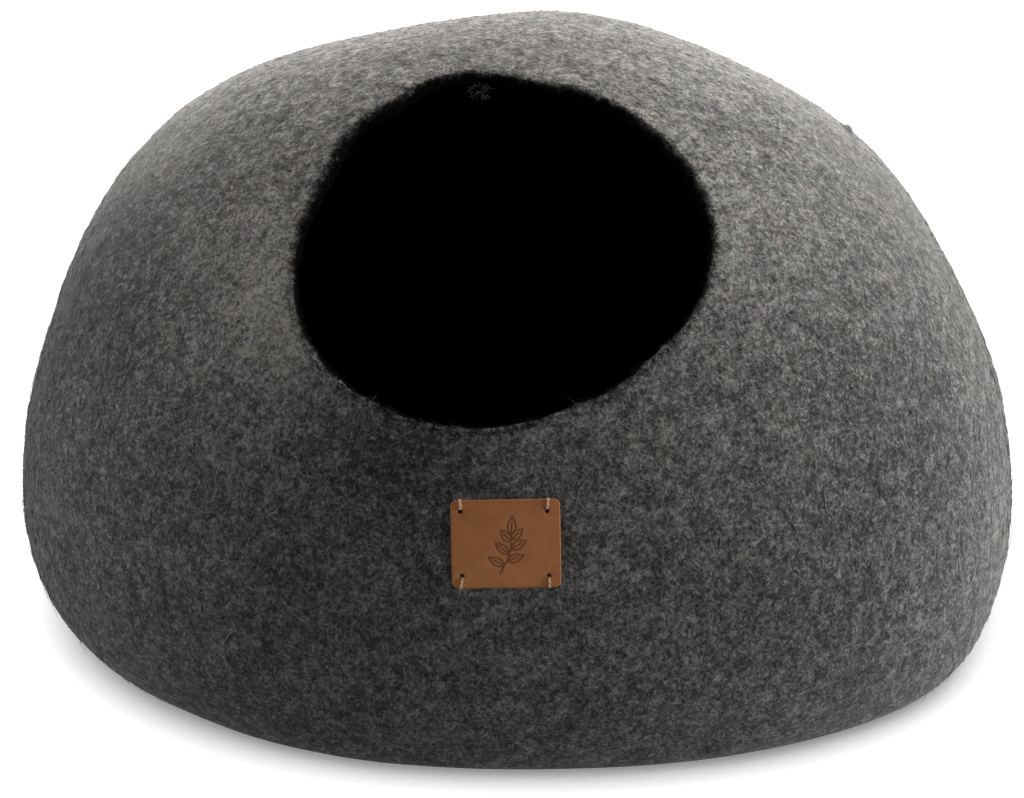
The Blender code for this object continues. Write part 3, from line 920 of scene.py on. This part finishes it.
linen = thread_finish()
twisting = plying()
for row in STITCHES:
    route = stitch_route(row)
    line = bpy.data.meshes.new(row.name)
    line.from_pydata(route, [(index, index + 1) for index in range(len(route) - 1)], [])
    thread = new_piece(row.name + "_thread", line)
    twisting.run(thread, Radius=THREAD_RADIUS, Turn_Length=PLY_TURN_LENGTH, Steps=THREAD_STEPS,
                 Material=linen)
    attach(thread, "root")
    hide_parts(row.name)


# ---- Floor, light and camera ---------------------------------------------------------------------
# A white table and room, warm soft boxes behind and above the cave, and weaker cool ones at its
# sides.
FLOOR_SIZE, FLOOR_GAP = 12.0, 0.0002
AIM = Vector((-0.0041, -0.0080, 0.0915))
CAMERA_RISE, CAMERA_DISTANCE = math.radians(24), 1.5
FOCAL_PIXELS, PHOTO_WIDTH = 2947.2, 1024     # the lens in the photo's pixels, fitted to its outline
SENSOR = 36.0
LENS = FOCAL_PIXELS / PHOTO_WIDTH * SENSOR
BOX_DISTANCE = 1.6
SoftBox = namedtuple("SoftBox", "name turn rise size power colour")
ROOM_LIGHT = (0.97, 0.975, 1.0, 1.0)    # what the white room throws back on the cave
ROOM_GLOW, SEEN_GLOW = 0.185, 1.06      # its strength on the cave, and as the camera sees it
WARM, COOL = (1.0, 0.976, 0.945), (0.895, 0.945, 1.0)
# Their powers, in watts, began as a scratch program's fit to the photo's brightness.
SOFT_BOXES = (
    SoftBox("behind_low", 180, 12, 1.0, 45.9, WARM),
    SoftBox("behind_right", 150, 45, 1.0, 22.6, WARM),
    SoftBox("over_right", 120, 60, 1.0, 8.6, WARM),
    SoftBox("over_left", -120, 60, 1.0, 4.8, WARM),
    SoftBox("right_rim", 95, 8, 0.8, 9.3, COOL),
    SoftBox("right_front", 70, 8, 0.8, 12.7, COOL),
    SoftBox("left_rim", -95, 8, 0.8, 8.8, COOL),
)


def floor_finish():
    """Glows white from below like a light table, with painted shade from ambient occlusion close
    round the cave.
    """
    white = Finish("white light table")
    near = white.node("ShaderNodeAmbientOcclusion", {"samples": 8}, {"Distance": 0.07}, "AO")
    shade = 0.28 + 1.1 * near.rising(0.1, 0.75)
    glow = white.node("ShaderNodeEmission", (), {"Color": (1.0, 1.0, 1.0, 1.0), "Strength": shade})
    end = next(n for n in white.tree.nodes if n.type == "OUTPUT_MATERIAL")
    white.tree.links.new(glow.socket, end.inputs["Surface"])
    return white.material


bpy.ops.mesh.primitive_plane_add(size=FLOOR_SIZE, location=(0, 0, -FLOOR_GAP))
floor = bpy.context.object
floor.name = "floor"
floor.data.materials.append(floor_finish())
floor.visible_diffuse = False
floor.visible_glossy = False


def soft_box(name, turn, rise, size, power, colour):
    """A square soft box that faces the cave: turn in degrees from the front towards +X."""
    lamp = bpy.data.lights.new(name, "AREA")
    lamp.shape = "SQUARE"
    lamp.size = size
    lamp.energy = power
    lamp.color = colour
    box = bpy.data.objects.new(name, lamp)
    way = Vector(direction(turn, rise))
    box.location = AIM + way * BOX_DISTANCE
    box.rotation_euler = (-way).to_track_quat("-Z", "Y").to_euler()
    bpy.context.collection.objects.link(box)


for row in SOFT_BOXES:
    soft_box(*row)

world = bpy.data.worlds.new("white room")
bpy.context.scene.world = world
world.use_nodes = True
room = Work(world.node_tree)
walls = world.node_tree.nodes["Background"]
seen = room.node("ShaderNodeLightPath", output="Is Camera Ray")
paint = room.mix(seen, ROOM_LIGHT, (1.0, 1.0, 1.0, 1.0))
room.tree.links.new((ROOM_GLOW + (SEEN_GLOW - ROOM_GLOW) * seen).socket, walls.inputs["Strength"])
room.tree.links.new(paint.socket, walls.inputs["Color"])

lens = bpy.data.cameras.new("camera")
lens.lens, lens.sensor_width, lens.sensor_fit = LENS, SENSOR, "HORIZONTAL"
lens.clip_end = 50.0
camera = bpy.data.objects.new("camera", lens)
camera.location = AIM + CAMERA_DISTANCE * Vector((0, -math.cos(CAMERA_RISE), math.sin(CAMERA_RISE)))
camera.rotation_euler = (math.pi / 2 - CAMERA_RISE, 0, 0)
bpy.context.collection.objects.link(camera)
bpy.context.scene.camera = camera
bpy.context.scene.view_settings.view_transform = "Standard"
